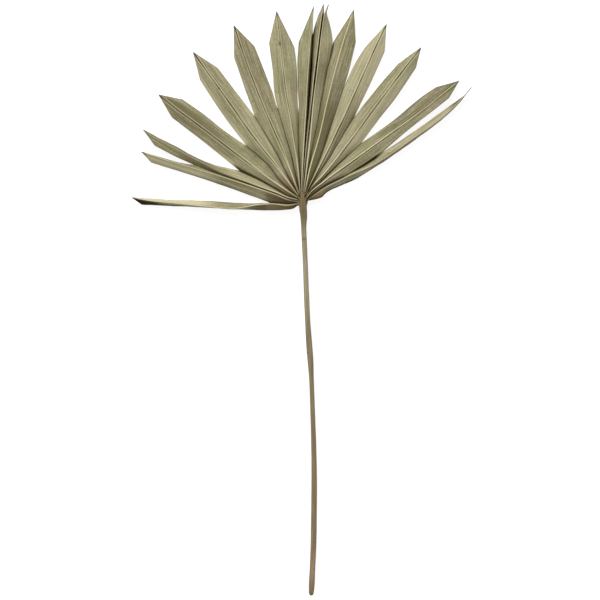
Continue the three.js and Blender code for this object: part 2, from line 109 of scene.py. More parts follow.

# One row per segment, from the left side of the fan clockwise. `tip` is its reach from the hub
# and its bearing from +X in degrees. The other points are [along, across] its own axis, across
# being positive clockwise: `rib` is the midrib, `left` and `right` are the free edges from the
# split to the trimmed shoulder, which is the last point; straight trims run on to the tip. Some
# segments also have
#   flat      the true width of the left and the right half
#   sink      how far the segment hangs below the middle of the fan
#   turned    the reaches between which its fold opens and turns over, and the share of fold that
#             it ends at
#   tone      how pale, or below 0 how brown, the left and the right half are, then their outer
#             parts; partly their own colour and partly painted light and shade for how they face
#             the lamp
#   margin    how much paler the free edge of the left and the right half is
#   pale_rib  how pale the midrib stays outwards
#   groove    a crease along the midrib, dark with painted shade: its depth, its place across and
#             the reach it starts at
#   scar      the place of a small dark wound
#   shade     painted shade where a half lies deep beside a neighbour or under a curled edge: the
#             side, the share of its width from the edge inwards, from which reach to which, and
#             how dark
SEGMENTS = [
    {"tip": (201.7, 180.3), "flat": (10, 10), "sink": 3, "tone": (0.1, -0.3, 0.1, 0.9),
     "shade": [("left", 1.1, 168, 260, 1), ("left", 0.55, 96, 180, 1),
               ("left", 1.2, -20, 70, 0.55), ("right", 0.6, -20, 58, 0.7)],
     "rib": [(16, -10.2), (36, -8.4), (51, -9.2), (79, -13.5), (115, -10.8), (150, -7),
             (180, -3.9)],
     "left": [(10.5, -14), (20, -15.3), (62, -14.8), (115, -11.6), (150, -9.9), (190, -8)],
     "right": [(62, -7.4), (115, -4.3), (156, -2.9), (180, -1.2)]},
    {"tip": (197.4, 164.4), "flat": (10.8, 9), "sink": 1.7, "tone": (-0.35, -0.35, 0.6, -0.25),
     "shade": [("left", 1.2, -20, 48, 0.6), ("left", 0.1, 60, 160, 0.9)],
     "rib": [(15, -8), (30, -6.2), (44, -5.3), (85, -3.4), (125, -2.2), (174, -1.3)],
     "left": [(60, -14.7), (116, -11), (183, -8.9)],
     "right": [(150, -0.3), (170, -0.1)]},
    {"tip": (203.9, 157.2), "flat": (8.4, 11.8), "sink": 1.5, "pale_rib": 0.3,
     "tone": (1, 0.3, -0.2, -0.85), "margin": (0, 0.4),
     "shade": [("right", 0.2, 20, 92, 0.6), ("right", 0.25, 110, 200, 0.4)],
     "rib": [(15, -7.2), (30, -7), (44, -7.8), (63, -8.5), (105, -10), (137, -8), (167, -5),
             (194, -2.3)],
     "left": [(156, -14.1), (184, -11.8)],
     "right": [(89, -1.7), (109, -5), (130, -5.8), (161, -2.9), (181, -1.6)]},
    {"tip": (208.3, 144.6), "flat": (13.6, 14.4), "groove": (1, 0, 60),
     "tone": (0.15, -0.2, -0.45, -0.85), "margin": (0.65, 0.75),
     "shade": [("left", 0.3, 20, 92, 0.85)],
     "rib": [(41, -4.7), (86, -4.1), (140, -2.4), (182, -1.6)],
     "left": [(131, -14.3), (180, -12.5)],
     "right": [(120, 10.4), (150, 12), (182, 11.9)]},
    {"tip": (214.2, 127), "flat": (15, 15.4), "groove": (1, 0, 45),
     "tone": (0.2, 0.25, -0.15, -0.1), "margin": (0.6, 0.4),
     "rib": [(40, -2), (83, -3.2), (143, -1.7), (188, -0.7)],
     "left": [(127, -16.3), (183, -13.1)],
     "right": [(134, 12.3), (182, 12.1)]},
    {"tip": (218, 111.7), "groove": (0.9, 0, 50),
     "tone": (0.1, 0.25, -0.3, -0.35), "margin": (0.6, 0.5),
     "rib": [(57, -1.1), (100, -2.6), (170, -2.6)],
     "left": [(150, -15.1), (183, -13.6)],
     "right": [(113, 11.8), (122, 12.9), (150, 13.4), (186, 13.6)]},
    {"tip": (221.5, 97.8), "groove": (0.7, 0, 50), "scar": (183, -0.6),
     "tone": (0.2, 0.75, 0.1, 0.2), "margin": (0.25, 0.15),
     "rib": [(22, -0.6), (84, 0), (124, -1.9), (183, -0.7)],
     "left": [(112, -14.6), (122, -15.5), (153, -13.9), (186, -13.7)],
     "right": [(103, 9.4), (126, 11.7), (138, 13.4), (152, 14.5), (177, 15)]},
    {"tip": (225, 86.5), "tone": (0.25, 0), "shade": [("right", 0.85, 36, 200, 1)],
     "rib": [(30, -1.4), (60, -1.7), (103, -1.7), (138, -1.9), (161, -1.6), (186, -1.1),
             (200, -0.5)],
     "left": [(103, -10), (126, -12.4), (140, -13.2), (152, -14.6), (182, -15)],
     "right": [(178, 1.7), (188, 1.2), (200, -0.8)]},
    {"tip": (228.7, 83.6), "tone": (0, 0.7),
     "shade": [("left", 0.7, 36, 190, 0.6), ("right", 0.8, 128, 260, 1)],
     "rib": [(80, -1.5), (103, -1.4), (137, -2), (175, -1.5), (211, -1)],
     "left": [(175, -9), (195, -8.3), (216, -4.7)],
     "right": [(190, 0.6), (208, 0.9), (219, 1.3)]},
    {"tip": (229.2, 82.1), "tone": (1, 0.8, 0, 0.2),
     "shade": [("left", 1.1, 128, 260, 1), ("right", 0.07, 150, 186, 0.7)],
     "rib": [(80, -0.2), (102, -1.4), (163, -2.8), (200, -3.5), (217, -3.2)],
     "left": [(190, -3.7), (205, -3.6), (217, -3)],
     "right": [(166, 10.2), (186, 10.6), (205, 5.2), (221, -1.6)]},
    {"tip": (229.4, 74.5), "tone": (-0.75, -0.75, -0.15, -0.2), "pale_rib": 0.8,
     "rib": [(30, 0.2), (74, 0.6), (115, -1.2), (157, -2.3), (188, -2)],
     "left": [(186, -13.4)],
     "right": [(142, 13.4), (176, 13.2), (193, 12.4)]},
    {"tip": (227.2, 63.9), "flat": (14.8, 13.2), "groove": (1, 0),
     "tone": (0.4, -0.3, 0.55, 0.45), "margin": (0, 0.3),
     "rib": [(11, 3.1), (45, 3.8), (102, 3.6), (157, 1.8), (196, 0.4)],
     "left": [(142, -12.4), (178, -12.3), (191, -10.8)],
     "right": [(162, 13.5), (197, 12.3)]},
    {"tip": (225.9, 51.4), "flat": (13.8, 12.9), "groove": (1, 0), "tone": (0.35, 1, 0.1, 0.45),
     "rib": [(14, 3), (34, 4.4), (85, 4.1), (146, 1.6), (190, 0.4)],
     "left": [(162, -10.7), (194, -9.2)],
     "right": [(131, 13.8), (155, 13.9), (203, 10.2)]},
    {"tip": (231.7, 36.4), "flat": (12, 10.4), "sink": 1, "turned": (100, 170, -0.7),
     "pale_rib": 1, "groove": (0.9, 1.2), "tone": (-0.1, 0.1, -0.1, -0.45),
     "shade": [("right", 0.2, 66, 108, 1)],
     "rib": [(9, 2.5), (30, 1), (70, 1), (136, 1.8), (170, 2.3), (205, 0.8)],
     "left": [(140, -8.6), (189, -11), (205, -10.1)],
     "right": [(121, 13), (149, 11.1), (187, 10.1), (209, 9.4)]},
    {"tip": (238.8, 32.8), "flat": (8, 12), "sink": 2.2, "tone": (0.1, 0.2, 0.4, 0.5),
     "shade": [("left", 0.3, 70, 108, 1), ("left", 1.2, -20, 62, 0.95),
               ("left", 1.2, 206, 260, 0.68), ("right", 1, 84, 260, 0.6),
               ("right", 0.3, -20, 80, 0.7)],
     "rib": [(30, 5.8), (46, 7.5), (66, 10), (88, 13.7), (115, 14.5), (142, 13.3),
             (192, 10.7), (219, 5.6)],
     "left": [(134, 7.6), (178, 6.1), (197, 4.9), (227, 3.6)],
     "right": [(14, 12), (20, 13.2), (25, 11.8), (30, 11.3), (42, 12.7), (58, 15.6), (89, 17),
               (142, 15.8), (172, 14), (192, 12.2), (219, 6.8)]},
]

# The valley fold between each pair of neighbours, [reach, bearing] from the hub out to the split.
FOLDS = [
    [(17.6, 208), (26.5, 196.3), (37.7, 191.4)],
    [(14, 197), (22, 180), (31, 173.8), (38, 170.9), (55, 167.8), (95, 164.5), (132, 163.5)],
    [(16, 177), (35, 163), (49, 159.3), (79.8, 157.3)],
    [(17, 151.6), (36, 142.7), (51, 137.5), (88.7, 137.4)],
    [(31, 124.1), (56, 120.7), (110, 120.4)],
    [(48, 104.8), (107, 105.4)],
    [(21, 96), (57, 94), (98, 92.5)],
    [(42, 87), (79, 85.9), (103, 85.7), (150, 85.7)],
    [(50, 85.5), (150, 83.6)],
    [(33, 77.4), (79, 78.3), (150, 78.8)],
    [(30, 62.6), (50, 64.5), (86, 67.3), (134.8, 69)],
    [(32, 54), (58, 55.1), (81, 56.2), (113, 56.8)],
    [(20, 36), (48, 41.6), (94.3, 42.1)],
    [(24, 23.3), (35, 27), (64, 25.9), (89, 27.2), (107, 28.6)],
]

# How far out a fold is a line of painted shade, where its edges overlap before the split.
LINE_ENDS = {1: 80}

# The stalk from its tongue over the hub to its cut end: y, x, half width, half height, height of
# its axis.
STALK = [
    (6, 0.2, 1.2, 0.6, 10.4),
    (2, 0.4, 2.4, 1.3, 10.5),
    (-4, 0.6, 3.4, 2.2, 10.3),
    (-11, 1, 4.3, 2.8, 9.9),
    (-25, 2.1, 3.9, 3, 9.2),
    (-32, 2, 3.4, 2.9, 8.9),
    (-54, 2.8, 3, 2.7, 8.5),
    (-82, 4, 3, 2.7, 8.1),
    (-125, 5.7, 3.1, 2.7, 7.3),
    (-154, 7.1, 3.2, 2.7, 6.7),
    (-182, 9, 3.6, 2.8, 6.2),
    (-197, 10.2, 3.4, 2.8, 6),
    (-212, 11, 2.9, 2.8, 5.7),
    (-253, 12.5, 2.8, 2.7, 5),
    (-296, 13.9, 3, 2.7, 4.2),
    (-324, 14.4, 3.2, 2.8, 3.8),
    (-381, 14.1, 3.4, 2.9, 3.3),
    (-410, 13.7, 3.4, 2.9, 3.1),
    (-438, 12.6, 3.3, 2.9, 2.9),
    (-466, 11.2, 3.1, 2.9, 2.9),
    (-470, 11, 2.8, 2.4, 2.9),
    (-472.3, 11.2, 1.5, 1.3, 2.9),
]
KNOT = 56.4  # length from the top of the stalk to a small dark scar across it
STALK_SIDES = 64
STALK_PITCH = 1.6
STALK_FLOOR = 0.02  # the lowest line of the stalk stays this far over the surface
CHANNEL = 0.05  # depth of the channel along its top, as a share of its radius
SWELL = 0.02  # share by which it swells and shrinks, irregularly, along its length
SWELL_PITCH = 9.0
FIBRES_ROUND = 19  # how many widths of the fibres go once round it

# The fine ridges along the stalk: height as a share of its radius, how many go round, and the
# length over which they wind on by one radian.
STALK_RIDGES = [(0.012, 9, 60), (0.010, 16, -45), (0.008, 23, 30)]

# The gathered base: how much wider than the root arch it is, its half height and how far its
# middle lies under that of the pleats.
BASE_MARGIN = (0.8, 0.7)
BASE_HALF_HEIGHT = 2.0
BASE_DROP = 1.0
BASE_CELLS = (25, 240)  # rows from pole to pole, columns round
FLUTE = 0.05  # depth of its flutes, as a share of its radius

# The roots of the midribs pass down over the stalk at these places, [y, how much further the
# middle ones run]. Below `ROOT_DIP` they sink to a share `ROOT_SUNK` of the stalk's oval.
ROOT_STOPS = [(1.0, 0.0), (-5.0, 0.0), (-11.0, 0.0), (-18.0, 3.0), (-27.0, 5.0)]
ROOT_DIP, ROOT_SUNK = -25.0, 0.88
ROOT_SLANT = 78.0  # the outermost ones lie this many degrees to either side of the stalk's top
ROOT_RADIUS, ROOT_THINNING = 0.62, 0.3  # at the midrib, and how much less at the far end
ROOT_START = [9, 5, 1]  # the points of the midrib, from its start, that a root comes out of
ROOT_LIFT = [-0.1, 0.0, 0.1]  # and how far over the midrib's middle it is there
ROOT_ROOM = 2.5  # its first place on the stalk lies at least this far below them
ROOT_SIDES = 12
ROOT_PITCH = 0.5


def polar(reach, bearing):
    """Plan points at a distance and a bearing in degrees from the hub."""
    turn = np.radians(bearing)
    return np.stack([reach * np.cos(turn), reach * np.sin(turn)], axis=-1)


def ease(value, low, high):
    """0 below `low`, 1 above `high` and the cubic 3t^2 - 2t^3 between them."""
    t = np.clip((value - low) / (high - low), 0, 1)
    return t * t * (3 - 2 * t)


def bell(distance, spread):
    """The bell curve e^-(distance / spread)^2, 1 at a line and near 0 two spreads away from it."""
    return np.exp(-((distance / spread) ** 2))


def soft_max(a, b, blend):
    """The larger of a and b, rounded off where they come within `blend` of each other."""
    return (a + b + np.sqrt((a - b) ** 2 + blend**2)) / 2


def lengths(path):
    """Length along the straight chords of a path, from its start to each of its points."""
    return np.concatenate([[0], np.cumsum(np.linalg.norm(np.diff(path, axis=0), axis=1))])


def smooth_path(points, pitch=PLAN_PITCH):
    """Points about `pitch` apart on a smooth curve through `points`.

    Between two neighbours it is the cubic that leaves and meets them with the slope of the
    parabola through each one and its own neighbours, against the length along the chords.
    """
    points = np.asarray(points, float)
    place = lengths(points)
    slopes = np.gradient(points, place, axis=0)
    at = np.linspace(0, place[-1], max(3, int(place[-1] / pitch)))
    i = np.clip(np.searchsorted(place, at, side="right") - 1, 0, len(points) - 2)
    gap = (place[i + 1] - place[i])[:, None]
    t = (at - place[i])[:, None] / gap
    leave = (2 * t**3 - 3 * t**2 + 1) * points[i] + (t**3 - 2 * t**2 + t) * gap * slopes[i]
    meet = (3 * t**2 - 2 * t**3) * points[i + 1] + (t**3 - t**2) * gap * slopes[i + 1]
    return leave + meet


def waves(x, phases):
    """A slow, irregular wave along x: half the sum of one sine for each phase.

    Each sine is 1.7 times as quick and 1.6 times as low as the one before it, so that their
    pitches don't divide each other.
    """
    total = np.zeros(np.shape(x))
    for k, phase in enumerate(phases):
        total += np.sin(x * 1.7**k + phase) / 1.6**k
    return total / 2


def root_point(step):
    """Place on the root arch; `step` counts segments from 0, and a fold sits half a step on."""
    turn = ARCH_FIRST + (ARCH_LAST - ARCH_FIRST) * step / (len(SEGMENTS) - 1)
    return ARCH_CENTRE + ARCH_HALVES * polar(1.0, turn)


def fold_path(index):
    """Plan of the valley fold after segment `index`, from its root to the split."""
    points = [polar(*place) for place in FOLDS[index]]
    return smooth_path([root_point(index + 0.5), *points])


class Half:
    """One half of a segment, from its midrib to its outer line, in the segment's plan frame."""

    def __init__(self, index, side):
        row = SEGMENTS[index]
        self.index, self.side = index, side
        self.sign = 1 if side == "right" else -1
        self.reach = row["tip"][0]
        self.out = polar(1.0, row["tip"][1])
        self.aside = np.array([self.out[1], -self.out[0]])
        self.flat = row.get("flat", (TRUE_HALF, TRUE_HALF))[side == "right"]
        self.shoulder = row[side][-1][0]
        tip = (self.reach, 0)
        self.rib = smooth_path([self.local(root_point(index)), *row["rib"], tip])
        self.neighbour = index + self.sign
        self.joined = 0 <= self.neighbour < len(SEGMENTS)
        if self.joined:
            fold = self.local(fold_path(index if side == "right" else index - 1))
        else:
            fold = self.local(root_point(index + self.sign / 2))[None]
        self.split = np.linalg.norm(fold[-1]) if self.joined else 0.0
        free = [place for place in row[side] if place[0] > fold[-1][0] + SPLIT_ROOM]
        blunt = (self.reach - BLUNT_TIP[0], BLUNT_TIP[1] * self.sign)
        free_path = smooth_path([fold[-1], *free])
        trim_path = smooth_path([free_path[-1], blunt])
        self.edge = np.concatenate([fold, free_path[1:], trim_path[1:]])
        self.split_place = len(fold) - 1
        self.shoulder_place = len(fold) + len(free_path) - 2

    def local(self, point):
        """Plan points from the hub as [along, across] the segment's axis."""
        return np.stack([point @ self.out, point @ self.aside], axis=-1)

    def plan(self, local):
        """[along, across] the segment's axis as plan points from the hub."""
        return local[..., :1] * self.out + local[..., 1:] * self.aside

    def plan_width(self, reach):
        """Width seen from above, across the segment's axis, from the midrib to the outer line."""
        edge_along = np.maximum.accumulate(self.edge[:, 0])
        edge = np.interp(reach, edge_along, self.edge[:, 1])
        return np.abs(edge - np.interp(reach, self.rib[:, 0], self.rib[:, 1]))

    def trim(self, reach):
        """Share of the width that the straight trim leaves: 1 to the shoulder, 0 at the tip."""
        return np.clip((self.reach - reach) / (self.reach - self.shoulder), 0, 1)

    def flat_width(self, reach):
        """Width laid flat: it widens by a power to the split, tapers, and is then trimmed."""
        widening = np.minimum(1, reach / max(self.split, WIDEN_REACH)) ** WIDENING
        taper = 1 - TAPER * np.clip((reach - self.split) / (self.shoulder - self.split), 0, 1)
        return self.flat * widening * taper * self.trim(reach)

    def tone(self, reach):
        """How pale the half is: its tone near the hub, eased into that of its outer part."""
        tones = SEGMENTS[self.index].get("tone", (0, 0))
        near, far = (pair[self.side == "right"] for pair in (tones[:2], tones[-2:]))
        return near + (far - near) * ease(reach, 0.4 * self.reach, 0.65 * self.reach)

    def fall(self, reach):
        """Fall from midrib to edge: what is left of the flat width after the plan width."""
        flat = self.flat_width(reach)
        room = flat**2 - self.plan_width(reach) ** 2
        return np.sqrt(soft_max(room, (LEAST_FOLD * flat) ** 2, FOLD_ROUNDING * flat**2))


HALVES = [{side: Half(index, side) for side in ("left", "right")} for index in range(len(SEGMENTS))]


def fold_share(index, reach):
    """Share of its fold that a segment keeps: 1 on a ridge, below 0 where it has turned over."""
    start, end, share = SEGMENTS[index].get("turned", (0, 1, 1))
    return 1 + (share - 1) * ease(reach, start, end)


def rib_height(index, reach):
    """Height of a midrib: half the deeper fall above the segment's middle, held past the trim."""
    falls = [half.fall(np.minimum(reach, half.shoulder)) for half in HALVES[index].values()]
    deepest = soft_max(*falls, LEAD_ROUNDING)
    middle = FOLD_MID - SEGMENTS[index].get("sink", 0) * np.minimum(1, reach / SETTLE)
    return middle + fold_share(index, reach) * deepest / 2


def free_edge_height(index, side, reach):
    """Height that an outer line would have if no neighbour held it: the midrib's less its fall."""
    return rib_height(index, reach) - fold_share(index, reach) * HALVES[index][side].fall(reach)


def edge_height(index, side, reach):
    """Height of an outer line: shared with the neighbour up to the split, then let go of it."""
    own = free_edge_height(index, side, reach)
    half = HALVES[index][side]
    if not half.joined:
        return own
    other = "left" if side == "right" else "right"
    held = np.minimum(reach, half.split)
    theirs = free_edge_height(half.neighbour, other, held)
    gap = (theirs - free_edge_height(index, side, held)) / 2
    return own + gap * np.clip(1 - (reach - half.split) / SPLIT_BLEND, 0, 1)


def resample(path, count, knots=()):
    """`count` + 1 points along a path, evenly spaced but for the knots, which each get a point."""
    place = lengths(path)
    share = place / place[-1]
    marks = [(round(share[k] * count), share[k]) for k in knots]
    marks = [(0, 0.0), *[m for m in marks if 0 < m[0] < count], (count, 1.0)]
    steps = np.interp(np.arange(count + 1), [m[0] for m in marks], [m[1] for m in marks])
    return np.stack([np.interp(steps, share, values) for values in path.T], axis=-1)


def unit(vectors):
    """Vectors brought to length 1."""
    return vectors / np.maximum(np.linalg.norm(vectors, axis=-1, keepdims=True), 1e-9)


def painted_shade_mark(half, reach, w):
    """Painted shade over a share of the width, from the outer line inwards, between two reaches.

    Each shade is its depth times an eased step across and two along; the darkest one counts.
    """
    mark = np.zeros_like(reach)
    for side, share, start, end, depth in SEGMENTS[half.index].get("shade", ()):
        if side == half.side:
            lengthwise = ease(reach, start - 8, start + 8) * (1 - ease(reach, end - 10, end + 3))
            crosswise = ease(w, 1 - 1.2 * share, 1 - 0.5 * share)
            mark = np.maximum(mark, depth * crosswise * lengthwise)
    return mark


def crease_mark(half, reach, distance):
    """Painted shade in the crease of a grooved midrib, and how far beside it the midrib is pale.

    The shade is a bell curve across the midrib whose spread and depth drift along it. Where
    the row has a scar, an oval bell curve lies over it as the wound's own dark colour.
    """
    row, index = SEGMENTS[half.index], half.index
    across = half.sign * distance
    depth, aside, start = (*row.get("groove", (0, 0)), 0)[:3]
    if start:
        depth = depth * ease(reach, start - CREASE_ONSET, start + CREASE_ONSET)
    drift = waves(reach / CREASE_PITCH, (index, 2 * index, 3 * index))
    spread = CREASE_SPREAD * (1 + 0.3 * drift)
    crease = bell(across - aside, spread) * depth * (0.88 + 0.25 * drift)
    if "scar" in row:
        along_scar, across_scar = row["scar"]
        apart = ((reach - along_scar) / SCAR_LENGTH) ** 2
        apart = apart + ((across - across_scar) / SCAR_WIDTH) ** 2
        crease = np.maximum(crease, np.exp(-apart))
    return crease, 0 if aside else FLANK * depth


def half_finish(half, w, reach, width, plan_width, shift):
    """Thickness over and under the middle surface of a half-lamina, its colour and painted shade.

    Lines are bell curves over the distance from the midrib, the outer line or the fold. What
    comes or goes lengthwise is an eased step over the reach from the hub. The upper face rises
    into a midrib, a bell curve across as wide as its radius, creased along its top where the row
    has a groove. The lower face is thicker under the midrib and the joined folds. `shift` is the
    half's own change of tone.
    """
    row = SEGMENTS[half.index]
    right = half.side == "right"
    distance = w * width
    edge_gap, plan_gap = width - distance, (1 - w) * plan_width
    radius = RIB_ROOT + (RIB_TIP - RIB_ROOT) * reach / half.reach
    rib = bell(distance, radius)
    crease, flank = crease_mark(half, reach, distance)
    free = part = np.ones_like(reach)
    if half.joined:
        free = ease(reach, half.split - 2, half.split + 6)
        part = ease(reach, half.split, half.split + PART_LENGTH)
    joined = (1 - free) * bell(edge_gap, FOLD_SPREAD)

    # The pale midrib is partly its own paler colour and partly a painted highlight on its crest.
    rib_spread = np.minimum(0.5 * radius + 0.22, 0.42 * plan_width + 0.05)
    fading = 1 - (1 - row.get("pale_rib", 0.5)) * ease(reach, 20, 100)
    pale = (0.6 + 0.4 * ease(reach, 9, 26)) * fading
    # The dark line of a fold and the softer dark near the hub are painted shade down in the
    # valleys, and `root` is painted shade where the half starts at the hub.
    line_end = LINE_ENDS.get(half.index - (not right), half.reach)
    line = (1 - free) * (1 - ease(reach, line_end - 14, line_end + 2))
    painted_gloom = 0.5 * (1 - ease(reach, 20, 80)) * bell(plan_gap, FOLD_SHADE_GLOOM)
    valley = np.maximum(bell(plan_gap, FOLD_SHADE_LINE), painted_gloom)
    fold = (1 - 0.3 * ease(reach, 40, 110)) * line * valley
    root = 0.6 * (1 - ease(reach - reach[:1], 1, 8)) * (1 - 0.5 * rib)
    # The rim is browned where it is free or trimmed, and darkened there by painted shade.
    rim_brown_and_shade = np.maximum(free * part, ease(reach, half.shoulder - 1, half.shoulder + 2))
    margin = row.get("margin", (0, 0))[right] * ease(w, 0.45, 0.92) * free
    shape = {
        "rise": LAMINA / 2 + radius * (RIB_RISE * rib - CREASE_SHARE * crease),
        "drop": LAMINA / 2 + RIB_DROP * radius * rib + FOLD_DROP * joined,
    }
    marks = {
        "midrib": pale * bell(distance - flank, rib_spread),
        "crease": crease,
        "fold": np.maximum(fold, root),
        # A painted shadow line beside the midrib.
        "rib_shadow": bell(distance - flank - RIB_SHADOW_PLACE * radius, RIB_SHADOW_SPREAD) * ease(width, 4, 9),
        "rim": rim_brown_and_shade * np.exp(-edge_gap / RIM_SPREAD),
        "tip": 1 - ease(half.reach - reach, *TIP_ZONE),
        "gather": 1 - ease(reach, *GATHER_ZONE),
        # Tone is partly the half's own colour and partly painted light and shade for how it faces
        # the lamp.
        "tone": half.tone(reach) + shift + margin,
        # Painted shade where the half lies deep beside its neighbour or under a curled edge.
        "shade": painted_shade_mark(half, reach, w),
    }
    return shape, marks


def half_grid(index, side):
    """Middle surface and finish of a half-lamina, on a grid of [along, midrib to edge].

    Each row runs straight from the midrib to the outer line, bowed up by CROWN of its width, with
    VEINS cosine ripples side by side and slow irregular waves that grow towards the outer line.
    """
    half = HALVES[index][side]
    rng = np.random.default_rng([SEED, index, half.sign + 1])
    rib_plan = resample(half.rib, CELLS_ALONG)
    edge_plan = resample(half.edge, CELLS_ALONG, (half.split_place, half.shoulder_place))
    rib_reach = np.linalg.norm(rib_plan, axis=1)
    edge_reach = np.linalg.norm(edge_plan, axis=1)
    rib_rise = rib_height(index, np.minimum(rib_reach, half.reach - 1))
    inner = np.column_stack([half.plan(rib_plan), rib_rise])
    outer = np.column_stack([half.plan(edge_plan), edge_height(index, side, edge_reach)])

    w = (0.5 - 0.5 * np.cos(np.linspace(0, math.pi, CELLS_ACROSS + 1)))[None, :]
    reach = rib_reach[:, None] * (1 - w) + edge_reach[:, None] * w
    surface = inner[:, None] * (1 - w[..., None]) + outer[:, None] * w[..., None]
    width = np.linalg.norm(outer - inner, axis=1)[:, None]
    plan_width = np.linalg.norm((outer - inner)[:, :2], axis=1)[:, None]
    vein_place = w * half.trim(reach)

    across = unit(outer - inner)
    along = unit(np.gradient(inner, axis=0))
    up = unit(np.cross(across, along) * half.sign)[:, None]
    fade = ease(width, *WAVY_WIDTHS) * ease(w, 0, 0.12)
    ripple = VEIN_RISE * np.cos(FULL_TURN * VEINS * vein_place) * fade
    slow = waves(reach / BUCKLE_PITCH * FULL_TURN, rng.uniform(0, PHASES, 3))
    broad = waves(vein_place * 7 + reach / 90, rng.uniform(0, PHASES, 3))
    lift = CROWN * width * 4 * w * (1 - w) + ripple + BUCKLE * fade * (broad + slow * w)

    shape, marks = half_finish(half, w, reach, width, plan_width, rng.uniform(-0.1, 0.1))
    shape["surface"] = surface + up * lift[..., None]
    shape["run"] = np.stack([half.sign * vein_place * half.flat, reach], axis=-1)
    return shape, marks


def merge_halves(index):
    """A segment's halves as one grid, from the left outer line over the midrib to the right."""
    return [
        {key: np.concatenate([left[key][:, :0:-1], right[key]], axis=1) for key in left}
        for left, right in zip(half_grid(index, "left"), half_grid(index, "right"))
    ]


def grid_normals(surface):
    """Upward unit normals of a grid whose rows run outwards and whose columns run clockwise."""
    return unit(np.cross(np.gradient(surface, axis=1), np.gradient(surface, axis=0)))


def shell_faces(rows, columns):
    """Faces of a closed sheet: an upper and a lower grid alike, joined round their rims."""
    a = (np.arange(rows - 1)[:, None] * columns + np.arange(columns - 1)[None, :]).ravel()
    upper = np.stack([a, a + 1, a + columns + 1, a + columns], axis=1)
    count = rows * columns
    lower = upper[:, ::-1] + count
    near = np.arange(columns)
    far = near + (rows - 1) * columns
    first = np.arange(rows) * columns
    last = first + columns - 1
    rim = np.concatenate([first, far[1:], last[-2::-1], near[-2:0:-1]])
    after = np.roll(rim, -1)
    side = np.stack([rim, after, after + count, rim + count], axis=1)
    return np.concatenate([upper, lower, side]).tolist()


def tube_faces(rings, sides):
    """Faces of a closed tube whose rings are followed by one point for each end."""
    ring = np.arange(rings - 1)[:, None] * sides
    k = np.arange(sides)[None, :]
    a, b = ring + k, ring + (k + 1) % sides
    wall = np.stack([a, b, b + sides, a + sides], axis=-1).reshape(-1, 4)
    k = k.ravel()
    first, last = rings * sides, rings * sides + 1
    start = np.stack([(k + 1) % sides, k, np.full(sides, first)], axis=1)
    top = (rings - 1) * sides
    end = np.stack([top + k, top + (k + 1) % sides, np.full(sides, last)], axis=1)
    return [*wall.tolist(), *start.tolist(), *end.tolist()]


def make_piece(name, points, faces, run, marks, material, node):
    """A smooth-shaded piece from points in millimetres, with a UV run and marks on its points.

    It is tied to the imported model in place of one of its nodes.
    """
    mesh = bpy.data.meshes.new(name)
    mesh.from_pydata((points * MM).tolist(), [], faces)
    corner = np.empty(len(mesh.loops), dtype=np.int32)
    mesh.loops.foreach_get("vertex_index", corner)
    layer = mesh.uv_layers.new(name="run")
    layer.data.foreach_set("uv", run[corner].astype(np.float32).ravel())
    for key, values in marks.items():
        attribute = mesh.attributes.new(key, "FLOAT", "POINT")
        attribute.data.foreach_set("value", values.astype(np.float32).ravel())
    mesh.polygons.foreach_set("use_smooth", np.ones(len(mesh.polygons), dtype=bool))
    mesh.materials.append(material)
    mesh.update()
    thing = bpy.data.objects.new(name, mesh)
    bpy.context.scene.collection.objects.link(thing)
    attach(thing, "root")
    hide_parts(node)


def segment(index, material):
    """One folded segment as a closed sheet.

    The middle surface levels out just over the floor. It is pushed out along its normals by the
    rise of the upper face and the drop of the lower one.
    """
    shape, marks = merge_halves(index)
    surface = shape["surface"]
    surface[..., 2] = soft_max(surface[..., 2], LAMINA / 2 + REST_CLEARANCE, REST_ROUNDING)
    normal = grid_normals(surface)
    upper = surface + normal * shape["rise"][..., None]
    lower = surface - normal * shape["drop"][..., None]
    lower[..., 2] = np.maximum(lower[..., 2], REST_CLEARANCE / 2)
    points = np.concatenate([upper.reshape(-1, 3), lower.reshape(-1, 3)])
    points[:, :2] += HUB
    run = (shape["run"] + np.array([FIBRE_STEP * index, 0.0])).reshape(-1, 2)
    run = np.concatenate([run, run])
    marks = {key: np.concatenate([values.ravel()] * 2) for key, values in marks.items()}
    name, faces = f"segment_{index + 1:02d}", shell_faces(*surface.shape[:2])
    make_piece(name, points, faces, run, marks, material, "blade")


def gathered_base(material):
    """The gathered base under the ribs: a low dome, fluted by one wave for each pleat.

    Its radius is that of an ellipsoid just wider than the root arch, its flutes a cosine with one
    wave for each step of the arch, which dies out towards the poles.
    """
    rows, columns = BASE_CELLS
    up = np.linspace(-math.pi / 2, math.pi / 2, rows)[:, None]
    round_ = np.linspace(0, FULL_TURN, columns, endpoint=False)[None, :]
    sweep = math.radians(ARCH_FIRST - ARCH_LAST)
    pleats = round_ * (len(SEGMENTS) - 1) * FULL_TURN / sweep
    flute = 1 + FLUTE * np.cos(pleats) * np.cos(up)
    ball = np.stack(
        [
            np.cos(up) * np.cos(round_) * flute,
            np.cos(up) * np.sin(round_) * flute,
            np.sin(up) + 0 * round_,
        ],
        axis=-1,
    )
    half = np.array([*(ARCH_HALVES + BASE_MARGIN), BASE_HALF_HEIGHT])
    points = ball * half + np.array([*(HUB + ARCH_CENTRE), FOLD_MID - BASE_DROP])
    points = np.concatenate([points[1:-1].reshape(-1, 3), points[:1, 0], points[-1:, 0]])
    faces = tube_faces(rows - 2, columns)
    # The base is brown, partly its own colour and partly painted shade under the ribs, with painted
    # fold shade over it.
    dark = {"gather": np.ones(len(points)), "fold": np.full(len(points), 0.85)}
    run = points[:, :2]
    make_piece("gathered_base", points, faces, run, dark, material, "blade")


def across_path(path):
    """Unit vectors across a path at each of its points: one level, one upward."""
    tangent = unit(np.gradient(path, axis=0))
    sideways = unit(np.column_stack([tangent[:, 1], -tangent[:, 0], 0 * tangent[:, 0]]))
    return sideways[:, None], np.cross(sideways, tangent)[:, None]


